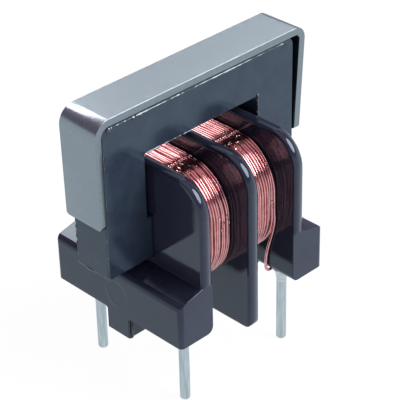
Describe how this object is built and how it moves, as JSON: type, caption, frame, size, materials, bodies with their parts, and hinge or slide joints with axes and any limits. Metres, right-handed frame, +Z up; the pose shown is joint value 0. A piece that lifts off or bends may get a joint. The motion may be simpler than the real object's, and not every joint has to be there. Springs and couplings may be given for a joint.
{
  "type": "common mode choke",
  "caption": "Through-hole choke: paired copper windings side by side on a black flanged bobbin, round a rectangular ferrite core held by a steel spring clip, on wire pins.",
  "frame": {"origin": "middle of the pin pattern, on the seating plane under the middle flange and the stand-offs", "axes": "+Z up out of the board, +X along the core's length, +Y from the front to the back"},
  "size_m": [0.0159, 0.0102, 0.0186],
  "materials": {
    "bobbin_plastic": "moulded black thermoplastic, glossy",
    "core_ferrite": "slate grey ferrite under a film of varnish",
    "clip_steel": "satin spring steel, bare",
    "enamelled_copper": "enamelled copper wire, glossy with varnish",
    "tinned_pin": "hot-tinned wire, satin",
    "solder": "tin solder, slightly dull"
  },
  "bodies": {
    "root": {"bobbin": "bobbin_plastic", "core_half_left": "core_ferrite", "core_half_right": "core_ferrite", "spring_clip": "clip_steel", "winding_left": "enamelled_copper", "winding_right": "enamelled_copper", "pin_front_left": "tinned_pin", "solder_front_left": "solder", "pin_front_right": "tinned_pin", "solder_front_right": "solder", "pin_back_left": "tinned_pin", "solder_back_left": "solder", "pin_back_right": "tinned_pin", "solder_back_right": "solder"}
  },
  "joints": []
}
